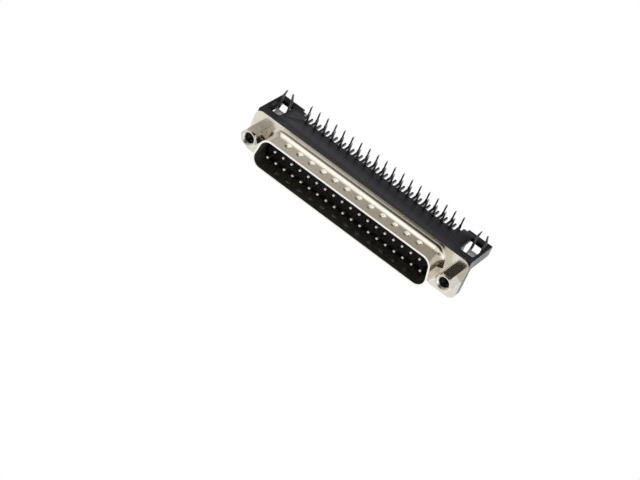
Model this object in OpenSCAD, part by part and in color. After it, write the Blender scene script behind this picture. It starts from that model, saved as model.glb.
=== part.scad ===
// Right-angle board connector with a D-shaped metal shell and male contacts in two staggered rows.
// Frame: the board plane is z = 0 and the mating face looks along -Y. The origin is the middle
// of the tail pattern: halfway along the connector and halfway between the two rows of tails.

/* [Contacts] */
// Distance between neighbouring contacts in a row
contact_pitch = 2.77; // [2.4:0.01:3.2]
// Distance between the two rows of pins in the mating face
contact_row_gap = 2.84; // [2.6:0.01:3.2]
// Number of contacts in the long row, which is one more than in the short row
long_row = 19; // [5:1:25]
// Diameter of the round pins
pin_d = 1.02; // [0.8:0.01:1.2]
// How far the pins stand out in front of the flange
pin_reach = 4.4; // [3.4:0.1:5.2]
// Length of the tapered nose of each pin
pin_nose = 0.8; // [0.4:0.1:1.2]
// Share of the pin's radius that its blunt tip keeps
pin_tip_share = 0.3; // [0.1:0.05:0.6]
// Diameter of the collar that holds a contact in the insulator
collar_d = 1.5; // [1.3:0.05:1.8]
// Width of the bent wire behind the insulator
wire_w = 0.7; // [0.5:0.05:0.9]
// Thickness of the bent wire
wire_t = 0.5; // [0.3:0.05:0.6]
// Inner radius of the right-angle bend
wire_bend_r = 0.7; // [0.3:0.1:1.2]
// Width of the thin tail that goes through the board
tail_w = 0.46; // [0.3:0.02:0.5]
// Length of the tails below the board plane
tail_reach = 3.4; // [2.4:0.1:4.5]
// How far below the board plane the shoulder of a tail ends
tail_shoulder = 0.7; // [0.3:0.1:1.2]
// Length of the slope from the shoulder to the thin tail
tail_slope = 0.3; // [0.1:0.1:0.6]
// Length of a tail's pointed end
tail_point = 0.5; // [0.2:0.1:0.8]

/* [Shell] */
// Thickness of the shell's sheet
shell_t = 0.5; // [0.3:0.05:0.6]
// How far the D-shaped mouth stands in front of the flange
mouth_depth = 6.2; // [5.8:0.1:7]
// From the last contact of the long row to the end of the mouth
mouth_end_gap = 2.78; // [2.6:0.02:3.2]
// From each row of pins to the long wall of the mouth
mouth_wall_gap = 2.76; // [2.5:0.02:3.2]
// Angle of the mouth's slanted end walls
side_angle = 10; // [6:1:14]
// Inner corner radius of the mouth
mouth_corner_r = 2.6; // [1.8:0.1:2.8]
// Radius of the drawn corner between flange and mouth
draw_r = 0.9; // [0.5:0.1:1]
// How far the flange reaches past the mouth's long walls
flange_rim = 2.09; // [1.9:0.01:2.6]
// Corner radius of the flange
flange_corner_r = 2; // [1:0.1:3]
// Number of dimples in each long wall
dimple_count = 12; // [0:1:14]
// Distance between dimples
dimple_pitch = 3.85; // [3:0.05:4]
// Diameter of a dimple
dimple_d = 1.7; // [1.2:0.1:2.2]
// Depth of a dimple
dimple_depth = 0.3; // [0.1:0.05:0.4]
// From the flange to the middle of the dimples
dimple_set = 3.4; // [2.8:0.1:4]

/* [Insulator] */
// How far the insulator's face lies behind the front of the flange
face_setback = 0.3; // [0.1:0.05:0.45]
// Thickness of the insulator's base behind the flange
base_t = 1.8; // [1.6:0.1:2.2]
// How far the insulator's base reaches past its front face all round
base_lip = 1.2; // [0.9:0.05:1.25]
// Length of the collar that each contact is held by
collar_l = 1.2; // [0.8:0.1:1.4]

/* [Fixings] */
// From the end of the mouth to the axis of a jackscrew
fixing_gap = 4.04; // [3.9:0.02:4.6]
// From the axis of a jackscrew to the end of the flange
fixing_edge = 2.91; // [2.6:0.01:3.4]
// Distance across the flats of a jackscrew
hex_af = 4.75; // [4.4:0.05:5]
// Length of a jackscrew's hexagon
hex_l = 4.6; // [4:0.1:6]
// Diameter of the round end face of a jackscrew
hex_end_d = 4.3; // [4:0.05:4.4]
// Minor diameter of the thread inside a jackscrew
thread_minor_d = 2.3; // [2.1:0.05:2.4]
// Depth of the thread inside a jackscrew
thread_depth = 3.9; // [3:0.1:4]
// Diameter of the countersink at the mouth of that thread
thread_mouth_d = 3.6; // [2.6:0.1:3.8]
// Outer diameter of a jackscrew's stud
stud_d = 2.8; // [2.5:0.05:2.85]
// Diameter of the clearance holes for the studs
stud_hole_d = 3.1; // [3:0.05:3.3]
// Outer diameter of a lock nut
nut_d = 4.3; // [4:0.1:5]
// Length of a lock nut
nut_l = 2.2; // [1.6:0.1:3]
// Chamfer round a lock nut's rear end
nut_chamfer = 0.3; // [0.1:0.1:0.5]
// How far a stud shows behind its lock nut
stud_show = 0.3; // [0.1:0.1:0.6]
// Thickness of a board lock's sheet
lock_t = 0.45; // [0.3:0.05:0.5]
// Width of a board lock's strap
lock_w = 3.4; // [3.2:0.1:3.6]
// Width of one leg of a board lock's fork
leg_w = 0.66; // [0.5:0.02:0.8]
// Width of one leg of the fork at its tip
leg_tip_w = 0.3; // [0.2:0.02:0.4]
// Distance between the two tips of a fork
tip_gap = 1.6; // [1.2:0.1:2]
// Length of the fork below the board plane
fork_reach = 3.55; // [2.6:0.05:4.5]
// How far below the board plane the legs of a fork start to close in
fork_kink = 1.6; // [1.2:0.1:2]
// Length of the point at each tip of the fork
fork_point = 0.2; // [0.1:0.1:0.5]
// Inner radius of the folds in a board lock
lock_bend_r = 0.3; // [0.2:0.05:0.5]
// How far a board lock's tab reaches above its lock nut
tab_rise = 0.7; // [0.2:0.1:1]

/* [Housing] */
// From the front of the flange to the first row of tails
tail_setback = 7.2; // [6.8:0.1:10]
// Distance between the two rows of tails
tail_row_gap = 2.84; // [2.4:0.02:3.2]
// From the board plane to the lower edge of the flange
flange_lift = 0.02; // [0.02:0.02:0.5]
// How much lower than the flange the top of the housing is
top_drop = 0.25; // [0.1:0.05:0.6]
// How much shorter than the flange each end of the housing is
end_drop = 0.2; // [0.1:0.05:0.4]
// Depth of the block that carries the contacts
block_depth = 4.6; // [4.2:0.1:5]
// Thickness of the end plates behind the flange
plate_t = 2.25; // [1.8:0.05:2.8]
// Thickness of the comb that spaces the tails
comb_t = 0.7; // [0.5:0.05:1]
// Thickness of the roof above the bent wires
roof_t = 2.4; // [1.6:0.1:2.8]
// From the last tail to the inner face of a cheek
cheek_gap = 1.0; // [0.8:0.05:1.4]
// Thickness of the cheeks at both ends of the comb
cheek_t = 2.1; // [1.4:0.1:2.4]
// How far the roof and the cheeks reach past the second row of tails
cheek_reach = 1.45; // [1.1:0.05:2]
// Width of the comb's fingers in line with the first row of tails
near_finger_w = 0.5; // [0.4:0.02:0.6]
// Width of the comb's fingers in line with the second row of tails
far_finger_w = 0.7; // [0.5:0.02:0.8]
// Thickness of the frame round the opening beside each cheek
frame_t = 1.1; // [0.8:0.05:1.4]
// Width of the frame's inner strip beside a cheek
strip_w = 1.3; // [1:0.1:1.6]
// Thickness of the rail at each end of the housing
rail_t = 0.9; // [0.7:0.05:1]
// Height of the rail at each end of the housing
rail_h = 3.1; // [2.4:0.1:3.2]
// Width of the bar behind each fork
bar_w = 2.1; // [1.4:0.1:2.4]
// Depth of the rib above each board lock
rib_depth = 1.3; // [0.8:0.1:1.8]
// Width of the rib above each board lock
rib_w = 4.8; // [4:0.1:5]
// Corner radius of the opening that each fork hangs in
opening_r = 0.8; // [0.3:0.1:1.5]
// How far each cheek is cut back along its lower rear edge
cheek_cut = 1; // [0.3:0.1:1.3]
// Wall of the comb behind each tail of the first row
near_wall = 0.12; // [0.1:0.02:0.3]

/* [Clearances] */
// Gap between pieces that fit into one another
fit_gap = 0.04; // [0.02:0.01:0.08]

/* [Hidden] */
$fn = 48;
eps = 0.01;

short_row = long_row - 1;
contact_count = long_row + short_row;
left = -1;
right = 1;
function contact_name(number) = str("contact_", number < 10 ? "0" : "", number);

// Mouth, flange and fixings, each worked out from the rows of contacts
mouth_w = (long_row - 1) * contact_pitch + 2 * mouth_end_gap;
mouth_h = contact_row_gap + 2 * mouth_wall_gap;
flange_h = mouth_h + 2 * flange_rim;
fixing_x = mouth_w / 2 + fixing_gap;
flange_w = 2 * (fixing_x + fixing_edge);
axis_z = flange_lift + flange_h / 2;

// Planes along Y, from the front of the flange to the back of the housing
flange_y = -tail_setback - tail_row_gap / 2;
flange_back_y = flange_y + shell_t;
base_back_y = flange_back_y + base_t;
block_back_y = flange_back_y + block_depth;
plate_back_y = flange_back_y + plate_t;
near_tail_y = flange_y + tail_setback;
far_tail_y = near_tail_y + tail_row_gap;
rear_y = far_tail_y + cheek_reach;
wire_root = pin_d / 4;
hole_w = wire_w + 2 * fit_gap;
hole_t = wire_t + 2 * fit_gap;
slot_front_y = near_tail_y + hole_t / 2 + near_wall;
far_finger_y = far_tail_y - hole_t / 2;
near_finger_y = far_tail_y + wire_t / 2;

// Planes along X and Z of the housing
top_z = axis_z + flange_h / 2 - top_drop;
end_x = flange_w / 2 - end_drop;
last_tail_x = (long_row - 1) / 2 * contact_pitch;
cheek_x = last_tail_x + cheek_gap;
body_x = cheek_x + cheek_t;
opening_x = body_x + strip_w;
rail_x = end_x - rail_t;

// Board lock, hung from the lock nut's seat
strap_z = axis_z - nut_d / 2 - lock_bend_r - lock_t;
tab_top_z = axis_z + nut_d / 2 + tab_rise;
nut_y = plate_back_y + lock_t + fit_gap;
fork_back_y = rear_y - bar_w - fit_gap;
leg_out = lock_w / 2;

// Corner centres of the D, shared by every outline that follows the mouth
top_corner = [mouth_w / 2 - mouth_corner_r, mouth_h / 2 - mouth_corner_r];
low_corner_y = mouth_corner_r - mouth_h / 2;
low_corner = [top_corner.x - (top_corner.y - low_corner_y) * tan(side_angle), low_corner_y];
slant_l = (top_corner.y - low_corner_y) / cos(side_angle);
shell_out_r = mouth_corner_r + shell_t;
draw_out_r = shell_out_r + draw_r;
draw_land = shell_t / 2;

nickel = [0.86, 0.84, 0.78];
black_plastic = [0.11, 0.11, 0.13];
gold = [0.85, 0.68, 0.32];
tin = [0.55, 0.55, 0.52];

function polar(r, angle) = [r * cos(angle), r * sin(angle)];
function contact_x(number) = number <= long_row
    ? (number - (long_row + 1) / 2) * contact_pitch
    : (number - long_row - (short_row + 1) / 2) * contact_pitch;
function contact_z(number) = axis_z + (number <= long_row ? 1 : -1) * contact_row_gap / 2;
function tail_y(number) = number <= long_row ? far_tail_y : near_tail_y;

// Leaves what is drawn for the right side where it is, or mirrors it to the left
module mirror_to(side) mirror([side == left ? 1 : 0, 0, 0]) children();

// Turns a drawing of the mating face (x across, y up, z forward) into the part's frame
module face_frame() translate([0, flange_y, axis_z]) rotate([90, 0, 0]) children();

// Turns a drawing of the side view (x rearward, y up) into a plate of the given width
module side_plate(width) rotate([90, 0, 90]) linear_extrude(width, center = true) children();

// Turns a drawing of the front view (x across, y up) into a plate from front_y to back_y
module front_plate(front_y, back_y)
    translate([0, back_y, 0]) rotate([90, 0, 0]) linear_extrude(back_y - front_y) children();

// D outline with the given corner radius about the shared corner centres
module d_outline(r) {
    for (side = [left, right]) {
        translate([side * top_corner.x, top_corner.y]) circle(r);
        translate([side * low_corner.x, low_corner.y]) circle(r);
    }
    half = [top_corner + polar(r, 90), top_corner + polar(r, -side_angle),
            low_corner + polar(r, -side_angle), low_corner + polar(r, -90)];
    polygon(concat(half, [for (i = [3:-1:0]) [-half[i].x, half[i].y]]));
}

// Sweeps a sheet profile (x outward from the corner centres, y forward) round the D
module d_sweep() {
    for (side = [left, right]) mirror_to(side) {
        translate(top_corner) rotate(-side_angle) rotate_extrude(angle = 90 + side_angle) children();
        translate(low_corner) rotate(-90) rotate_extrude(angle = 90 - side_angle) children();
    }
    translate([-top_corner.x, top_corner.y])
        rotate(90) rotate([90, 0, 0]) linear_extrude(2 * top_corner.x) children();
    translate(low_corner) rotate(-90) rotate([90, 0, 0]) linear_extrude(2 * low_corner.x) children();
    for (side = [left, right]) mirror_to(side)
        translate(top_corner) rotate(-side_angle) rotate([90, 0, 0]) linear_extrude(slant_l) children();
}

// Section of the drawn sheet: the straight wall, the curved corner and a narrow land of the flange
module drawn_section() {
    translate([draw_out_r, -shell_t]) square([draw_land, shell_t]);
    translate([mouth_corner_r, draw_r]) square([shell_t, mouth_depth - draw_r]);
    difference() {
        translate([mouth_corner_r, -shell_t]) square([shell_t + draw_r, draw_r + shell_t]);
        translate([draw_out_r, draw_r]) circle(draw_r);
        difference() {
            translate([mouth_corner_r - 1, -shell_t - 1]) square(draw_r + shell_t + 1);
            translate([draw_out_r, draw_r]) circle(draw_r + shell_t);
        }
    }
}

module rounded_rectangle(w, h, r) {
    square([w - 2 * r, h], center = true);
    square([w, h - 2 * r], center = true);
    for (x = [-1, 1], y = [-1, 1]) translate([x * (w / 2 - r), y * (h / 2 - r)]) circle(r);
}

// Radius of the ball that presses a dimple of the given width and depth
dimple_ball_r = (dimple_d * dimple_d / 4 + dimple_depth * dimple_depth) / (2 * dimple_depth);

module at_dimples() {
    for (wall = [-1, 1], i = [0:1:dimple_count - 1])
        translate([(i - (dimple_count - 1) / 2) * dimple_pitch,
                   wall * (mouth_h / 2 + shell_t + dimple_ball_r - dimple_depth), dimple_set])
            mirror([0, wall < 0 ? 1 : 0, 0]) children();
}

// The part of the pressed metal that stands inside the mouth
module dimple_bulge() {
    intersection() {
        sphere(dimple_ball_r + shell_t);
        translate([-dimple_d, -dimple_ball_r - shell_t, -dimple_d])
            cube([2 * dimple_d, dimple_depth + shell_t / 2, 2 * dimple_d]);
    }
}

module front_shell() color(nickel) face_frame() difference() {
    union() {
        translate([0, 0, -shell_t]) linear_extrude(shell_t) difference() {
            rounded_rectangle(flange_w, flange_h, flange_corner_r);
            d_outline(draw_out_r + draw_land);
        }
        d_sweep() drawn_section();
        at_dimples() dimple_bulge();
    }
    at_dimples() sphere(dimple_ball_r);
    for (side = [left, right])
        translate([side * fixing_x, 0, -shell_t - 1]) cylinder(d = stud_hole_d, h = shell_t + 2);
}

module front_insulator() color(black_plastic) face_frame() {
    difference() {
        union() {
            translate([0, 0, -shell_t - base_t]) linear_extrude(shell_t + base_t - face_setback)
                d_outline(mouth_corner_r - fit_gap);
            translate([0, 0, -shell_t - base_t]) linear_extrude(base_t - fit_gap)
                d_outline(mouth_corner_r + base_lip);
        }
        for (number = [1:contact_count])
            translate([contact_x(number), contact_z(number) - axis_z, -shell_t - base_t]) {
                cylinder(d = pin_d + 2 * fit_gap, h = 1 + shell_t + base_t);
                translate([0, 0, -1]) cylinder(d = collar_d + 2 * fit_gap, h = 1 + collar_l + fit_gap);
            }
    }
}

// Outline of one end plate, seen from the front, with its round upper corner
module end_plate_outline(side) {
    r = flange_corner_r - end_drop;
    mirror_to(side) difference() {
        union() {
            translate([body_x - 1, 0]) square([end_x - body_x + 1, top_z - r]);
            translate([body_x - 1, 0]) square([end_x - body_x + 1 - r, top_z]);
            translate([end_x - r, top_z - r]) circle(r);
        }
        translate([fixing_x, axis_z]) circle(d = stud_hole_d);
    }
}

// Frame beside a cheek: strip, bar and rail round the opening that the fork hangs in
module end_frame(side) {
    mirror_to(side) {
        difference() {
            translate([body_x - 1, plate_back_y - 1, 0])
                cube([end_x - body_x + 1, rear_y - plate_back_y + 1, frame_t]);
            translate([0, 0, -1]) linear_extrude(frame_t + 2) opening_outline();
        }
        translate([rail_x, plate_back_y - 1, 0]) cube([rail_t, rear_y - plate_back_y + 1, rail_h]);
        translate([fixing_x - rib_w / 2, plate_back_y - 1, tab_top_z + fit_gap])
            cube([rib_w, 1 + rib_depth, top_z - tab_top_z - fit_gap - end_drop]);
    }
}

module opening_outline() {
    r = opening_r;
    front = plate_back_y;
    back = rear_y - bar_w;
    translate([opening_x, front + r]) square([rail_x - opening_x, back - front - r]);
    translate([opening_x + r, front]) square([rail_x - opening_x - 2 * r, back - front]);
    for (x = [opening_x + r, rail_x - r]) translate([x, front + r]) circle(r);
}

// The gap between two fingers of the comb, with a round inner end
module comb_slot(low_x, high_x) {
    r = (high_x - low_x) / 2;
    translate([low_x, slot_front_y + r]) square([high_x - low_x, rear_y]);
    translate([low_x + r, slot_front_y + r]) circle(r);
}

module comb_cuts() {
    for (i = [0:long_row - 1]) {
        x = (i - (long_row - 1) / 2) * contact_pitch;
        if (i > 0) comb_slot(x - contact_pitch / 2 + near_finger_w / 2, x - far_finger_w / 2);
        if (i < long_row - 1) comb_slot(x + far_finger_w / 2, x + contact_pitch / 2 - near_finger_w / 2);
        translate([x - contact_pitch / 2 + near_finger_w / 2, far_finger_y])
            square([contact_pitch - near_finger_w, rear_y]);
    }
    for (side = [left, right])
        translate([side * (cheek_x + last_tail_x + far_finger_w / 2) / 2, far_finger_y])
            square([cheek_x - last_tail_x - far_finger_w / 2, 2 * hole_t], center = true);
    for (i = [1:short_row])
        translate([contact_x(long_row + i), near_tail_y]) square([hole_w, hole_t], center = true);
}

// Side view of a cheek, cut back along its lower rear edge
module cheek_side() {
    polygon([[block_back_y - 1, 0], [rear_y - cheek_cut, 0], [rear_y, cheek_cut], [rear_y, top_z],
             [block_back_y - 1, top_z]]);
}

module rear_housing() color(black_plastic) difference() {
    union() {
        translate([-body_x, flange_back_y + fit_gap, 0])
            cube([2 * body_x, block_depth - fit_gap, top_z]);
        translate([-body_x, block_back_y - 1, top_z - roof_t])
            cube([2 * body_x, rear_y - block_back_y + 1, roof_t]);
        linear_extrude(comb_t) difference() {
            translate([-cheek_x - 1, block_back_y - 1])
                square([2 * cheek_x + 2, near_finger_y - block_back_y + 1]);
            comb_cuts();
        }
        for (side = [left, right]) {
            translate([side * (cheek_x + cheek_t / 2), 0, 0]) side_plate(cheek_t) cheek_side();
            front_plate(flange_back_y + fit_gap, plate_back_y) end_plate_outline(side);
            end_frame(side);
        }
    }
    face_frame() translate([0, 0, -shell_t - base_t - fit_gap]) linear_extrude(base_t + 1)
        d_outline(mouth_corner_r + base_lip + fit_gap);
    for (number = [1:contact_count])
        translate([contact_x(number), block_back_y, contact_z(number)])
            cube([hole_w, 2 * block_depth, hole_t], center = true);
}

module jackscrew(side) color(nickel) face_frame() translate([side * fixing_x, 0, 0]) difference() {
    hex_r = hex_af / sqrt(3);
    union() {
        intersection() {
            cylinder(r = hex_r, h = hex_l, $fn = 6);
            union() {
                cylinder(r = hex_r + 1, h = hex_l - (hex_r - hex_end_d / 2) * tan(30));
                translate([0, 0, hex_l - (hex_r - hex_end_d / 2) * tan(30) - eps])
                    cylinder(r1 = hex_r, r2 = hex_end_d / 2, h = (hex_r - hex_end_d / 2) * tan(30) + eps);
            }
        }
        translate([0, 0, -stud_l()]) cylinder(d = stud_d, h = stud_l() + 1);
    }
    translate([0, 0, hex_l - thread_depth]) cylinder(d = thread_minor_d, h = thread_depth + 1);
    sink = (thread_mouth_d - thread_minor_d) / 2;
    translate([0, 0, hex_l - sink])
        cylinder(d1 = thread_minor_d, d2 = thread_mouth_d + 2 * sink, h = 2 * sink);
}

// A stud goes through flange, plate, board lock and lock nut, and just shows behind the nut
function stud_l() = nut_y + nut_l + stud_show - flange_y;

module lock_nut(side) color(nickel) translate([side * fixing_x, nut_y, axis_z]) rotate([-90, 0, 0])
    difference() {
        union() {
            cylinder(d = nut_d, h = nut_l - nut_chamfer);
            translate([0, 0, nut_l - nut_chamfer])
                cylinder(d1 = nut_d, d2 = nut_d - 2 * nut_chamfer, h = nut_chamfer);
        }
        translate([0, 0, -1]) cylinder(d = stud_d + 2 * fit_gap, h = nut_l + 2);
    }

// Side view of the folded strip: a tab behind the plate, a strap to the rear and a fork downwards
module lock_side() {
    front = plate_back_y + fit_gap / 2;
    r = lock_bend_r;
    outer = r + lock_t;
    difference() {
        union() {
            translate([front, strap_z + outer]) square([lock_t, tab_top_z - strap_z - outer]);
            translate([front + outer, strap_z]) square([fork_back_y - front - 2 * outer, lock_t]);
            translate([fork_back_y - lock_t, 0]) square([lock_t, strap_z + lock_t - outer]);
            translate([front, strap_z]) square(outer);
            translate([fork_back_y - outer, strap_z + lock_t - outer]) square(outer);
        }
        translate([front + outer, strap_z + outer]) circle(r);
        translate([fork_back_y - outer, strap_z + lock_t - outer]) circle(r);
        corner_cut([front + outer, strap_z + outer], outer, 180);
        corner_cut([fork_back_y - outer, strap_z + lock_t - outer], outer, 0);
    }
}

// What rounds off the outside of a fold: the corner square less the quarter disc
module corner_cut(centre, r, turn) translate(centre) rotate(turn) difference() {
    square(r + 1);
    circle(r);
}

// One leg of the fork, seen from the front, right of the middle line
module fork_leg() {
    inner = leg_out - leg_w;
    tip = tip_gap / 2 + leg_tip_w;
    polygon([[leg_out, eps], [leg_out, -fork_kink], [tip, fork_point - fork_reach],
             [tip - leg_tip_w / 2, -fork_reach], [tip - leg_tip_w, fork_point - fork_reach],
             [inner, -fork_kink], [inner, eps]]);
}

module board_lock(side) color(tin) translate([side * fixing_x, 0, 0]) difference() {
    union() {
        side_plate(lock_w) lock_side();
        front_plate(fork_back_y - lock_t, fork_back_y)
            for (leg = [left, right]) mirror_to(leg) fork_leg();
    }
    translate([0, plate_back_y, axis_z]) rotate([-90, 0, 0])
        cylinder(d = stud_hole_d, h = 2 * lock_t + 1, center = true);
    translate([leg_w - leg_out, fork_back_y - lock_t - lock_bend_r - 1, -1])
        cube([2 * (leg_out - leg_w), lock_t + lock_bend_r + 2, strap_z - 2 * lock_bend_r + 1]);
}

// Round front end of a contact with its nose and collar, drawn as radius against forward distance
module contact_front() {
    back = -shell_t - base_t;
    r = pin_d / 2;
    tip_r = pin_tip_share * r;
    nose = [for (a = [0:15:90]) [tip_r + (r - tip_r) * cos(a), pin_reach - pin_nose * (1 - sin(a))]];
    rotate_extrude() {
        polygon(concat([[0, back], [r, back]], nose, [[0, pin_reach]]));
        translate([0, back]) square([collar_d / 2, collar_l]);
    }
}

// Side view of the wire: straight out of the block, round the bend and down to the board plane
module wire_side(z, y) {
    outer = wire_bend_r + wire_t;
    bend = [y + wire_t / 2 - outer, z + wire_t / 2 - outer];
    translate([base_back_y - wire_root, z - wire_t / 2])
        square([bend.x - base_back_y + wire_root, wire_t]);
    translate([y - wire_t / 2, -eps]) square([wire_t, bend.y + eps]);
    intersection() {
        difference() {
            translate(bend) circle(outer);
            translate(bend) circle(wire_bend_r);
        }
        translate(bend) square(outer);
    }
}

// Front view of the tail: the wire's shoulder, the thin tail and its point
module tail_front() {
    half = [[wire_w / 2, 0], [wire_w / 2, -tail_shoulder], [tail_w / 2, -tail_shoulder - tail_slope],
            [tail_w / 2, tail_point - tail_reach], [tail_w / 4, -tail_reach]];
    polygon(concat(half, [for (i = [4:-1:0]) [-half[i].x, half[i].y]]));
}

module contact(number) {
    z = contact_z(number);
    y = tail_y(number);
    translate([contact_x(number), 0, 0]) {
        color(gold) translate([0, flange_y, z]) rotate([90, 0, 0]) contact_front();
        color(tin) side_plate(wire_w) wire_side(z, y);
        color(tin) front_plate(y - wire_t / 2, y + wire_t / 2) tail_front();
    }
}

front_shell();
front_insulator();
rear_housing();
jackscrew(left);  // jackscrew_left
jackscrew(right);  // jackscrew_right
lock_nut(left);  // lock_nut_left
lock_nut(right);  // lock_nut_right
board_lock(left);  // board_lock_left
board_lock(right);  // board_lock_right
for (number = [1:contact_count])
    contact(number);
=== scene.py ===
import math

import bmesh
import bpy
from mathutils import Matrix, Quaternion, Vector


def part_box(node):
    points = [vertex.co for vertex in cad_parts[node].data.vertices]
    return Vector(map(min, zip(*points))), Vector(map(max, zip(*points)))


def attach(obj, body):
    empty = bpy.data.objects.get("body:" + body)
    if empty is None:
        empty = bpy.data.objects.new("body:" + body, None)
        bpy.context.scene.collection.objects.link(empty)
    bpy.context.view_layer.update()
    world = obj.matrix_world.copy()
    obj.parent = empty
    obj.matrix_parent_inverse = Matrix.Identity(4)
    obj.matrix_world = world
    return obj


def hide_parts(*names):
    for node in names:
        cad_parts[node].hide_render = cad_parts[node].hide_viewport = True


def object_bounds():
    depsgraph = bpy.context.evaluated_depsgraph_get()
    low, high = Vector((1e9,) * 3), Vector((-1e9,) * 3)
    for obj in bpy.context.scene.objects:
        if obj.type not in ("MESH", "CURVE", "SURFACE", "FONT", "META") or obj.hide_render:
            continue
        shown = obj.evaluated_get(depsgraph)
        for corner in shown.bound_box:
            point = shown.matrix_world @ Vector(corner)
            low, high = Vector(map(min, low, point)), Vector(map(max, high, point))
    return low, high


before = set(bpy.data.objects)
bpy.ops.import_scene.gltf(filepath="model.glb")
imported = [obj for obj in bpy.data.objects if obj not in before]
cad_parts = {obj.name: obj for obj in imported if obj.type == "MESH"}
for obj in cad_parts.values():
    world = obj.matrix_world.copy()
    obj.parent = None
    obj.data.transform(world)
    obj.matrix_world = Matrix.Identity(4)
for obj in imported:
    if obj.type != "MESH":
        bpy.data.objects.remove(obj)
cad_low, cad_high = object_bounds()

MM = 0.001
LONG_ROW = 19
CONTACT_COUNT = 37
QUARTER = math.pi / 2


# ---------------------------------------------------------------- sizes, all from the frame

shell_low, shell_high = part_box("front_shell")
insulator_low, insulator_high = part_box("front_insulator")
screw_low, screw_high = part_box("jackscrew_right")
nut_low, nut_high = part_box("lock_nut_right")

PIN_PITCH = (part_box("contact_02")[0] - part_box("contact_01")[0]).x
AXIS_Z = (shell_low.z + shell_high.z) / 2
SHEET = 0.5 * MM
SHELL_BACK_Y = shell_high.y
FLANGE_Y = SHELL_BACK_Y - SHEET
RIM_Y = shell_low.y
SCREW_X = (screw_low.x + screw_high.x) / 2

# The D of the mouth, measured on the inside of its sheet
PIN_ROW_GAP = 2.84 * MM
COLLAR_R = 0.75 * MM
MOUTH_END_GAP = 2.78 * MM
MOUTH_WALL_GAP = 2.76 * MM
MOUTH_W = 2 * (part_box("contact_19")[0].x + COLLAR_R + MOUTH_END_GAP)
MOUTH_H = PIN_ROW_GAP + 2 * MOUTH_WALL_GAP
MOUTH_R = 2.6 * MM
MOUTH_SLANT = math.radians(10)

# The rolled corner between the wall and the flange: its reach outwards and forwards, and the flat
# ring that follows it
DRAW_H = 1.0 * MM
DRAW_L = 2.4 * MM
DRAW_RING = 0.25 * MM

FLANGE_CORNER_R = 2 * MM
STUD_HOLE_R = 1.55 * MM

# Widths of the rounding along edges
SHEET_EDGE = 0.07 * MM
MOULDED_EDGE = 0.08 * MM
METAL_EDGE = 0.05 * MM

MERGE_GAP = 0.001 * MM
SQUARE_ON = 0.99999     # how closely a flat face's normal has to lie along an axis


# ---------------------------------------------------------------- small helpers for modelling

def select_nothing():
    """Leaves edit mode with no object selected."""
    if bpy.context.mode != "OBJECT":
        bpy.ops.object.mode_set(mode="OBJECT")
    bpy.ops.object.select_all(action="DESELECT")


def only(piece):
    """Leaves nothing else selected, with the piece active."""
    select_nothing()
    piece.select_set(True)
    bpy.context.view_layer.objects.active = piece


def finish_modifier(piece, name, kind, **settings):
    """Adds a modifier, sets it and applies it."""
    only(piece)
    modifier = piece.modifiers.new(name, kind)
    for key, value in settings.items():
        setattr(modifier, key, value)
    bpy.ops.object.modifier_apply(modifier=modifier.name)


def shade(piece, degrees=32):
    """Smooth shading between sharp edges, with flat faces kept flat right up to their bevels."""
    only(piece)
    bpy.ops.object.shade_smooth_by_angle(angle=math.radians(degrees))
    finish_modifier(piece, "flat_faces", "WEIGHTED_NORMAL", keep_sharp=True, weight=100)


def steady_flats(piece):
    """Sets the corners of square-on flat faces straight out, so that nothing slants across them."""
    only(piece)
    bpy.ops.object.mode_set(mode="EDIT")
    bpy.ops.mesh.select_mode(type="FACE")
    for axis, side in ((0, -1), (0, 1), (1, -1), (1, 1), (2, -1), (2, 1)):
        bpy.ops.mesh.select_all(action="DESELECT")
        mesh = bmesh.from_edit_mesh(piece.data)
        for face in mesh.faces:
            face.select_set(side * face.normal[axis] > SQUARE_ON)
        bmesh.update_edit_mesh(piece.data)
        bpy.ops.mesh.set_normals_from_faces(keep_sharp=True)
    bpy.ops.mesh.select_mode(type="VERT")
    bpy.ops.object.mode_set(mode="OBJECT")


def soften_edges(piece, width):
    """Rounds the edges that turn by more than 35 degrees."""
    finish_modifier(piece, "edges", "BEVEL", width=width, segments=2, limit_method="ANGLE",
                    angle_limit=math.radians(35), harden_normals=False, miter_outer="MITER_ARC")


def first_ring(name, points):
    """A circle whose corners are put on the given points; each corner remembers its seat."""
    select_nothing()
    bpy.ops.mesh.primitive_circle_add(vertices=len(points), radius=MM)
    piece = bpy.context.object
    piece.name = piece.data.name = name
    bpy.ops.object.mode_set(mode="EDIT")
    mesh = bmesh.from_edit_mesh(piece.data)
    seat = mesh.verts.layers.int.new("seat")
    mesh.verts.ensure_lookup_table()
    for number, vertex in enumerate(mesh.verts):
        vertex[seat] = number
        vertex.co = points[number]
    bmesh.update_edit_mesh(piece.data)
    return piece


def next_ring(piece, points):
    """Extrudes the open ring and puts each new corner on the point of its seat."""
    bpy.ops.mesh.extrude_region_move()
    mesh = bmesh.from_edit_mesh(piece.data)
    seat = mesh.verts.layers.int["seat"]
    for vertex in mesh.verts:
        if vertex.select:
            vertex.co = points[vertex[seat]]
    bmesh.update_edit_mesh(piece.data)


def close_up(piece, caps=True):
    """Fills the open rings, turns the faces outwards and leaves edit mode."""
    bpy.ops.mesh.select_all(action="SELECT")
    if caps:
        bpy.ops.mesh.fill_holes(sides=0)
        bpy.ops.mesh.select_all(action="SELECT")
    bpy.ops.mesh.normals_make_consistent(inside=False)
    bpy.ops.object.mode_set(mode="OBJECT")
    layer = piece.data.attributes.get("seat")
    if layer:
        piece.data.attributes.remove(layer)


def ring_body(name, rings, caps=True):
    """A body grown ring by ring from the first."""
    piece = first_ring(name, rings[0])
    for points in rings[1:]:
        next_ring(piece, points)
    close_up(piece, caps)
    return piece


def smooth_step(low, high, value):
    """0 at low and 1 at high, with an even start and end."""
    share = min(max((value - low) / (high - low), 0), 1)
    return share * share * (3 - 2 * share)


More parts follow.
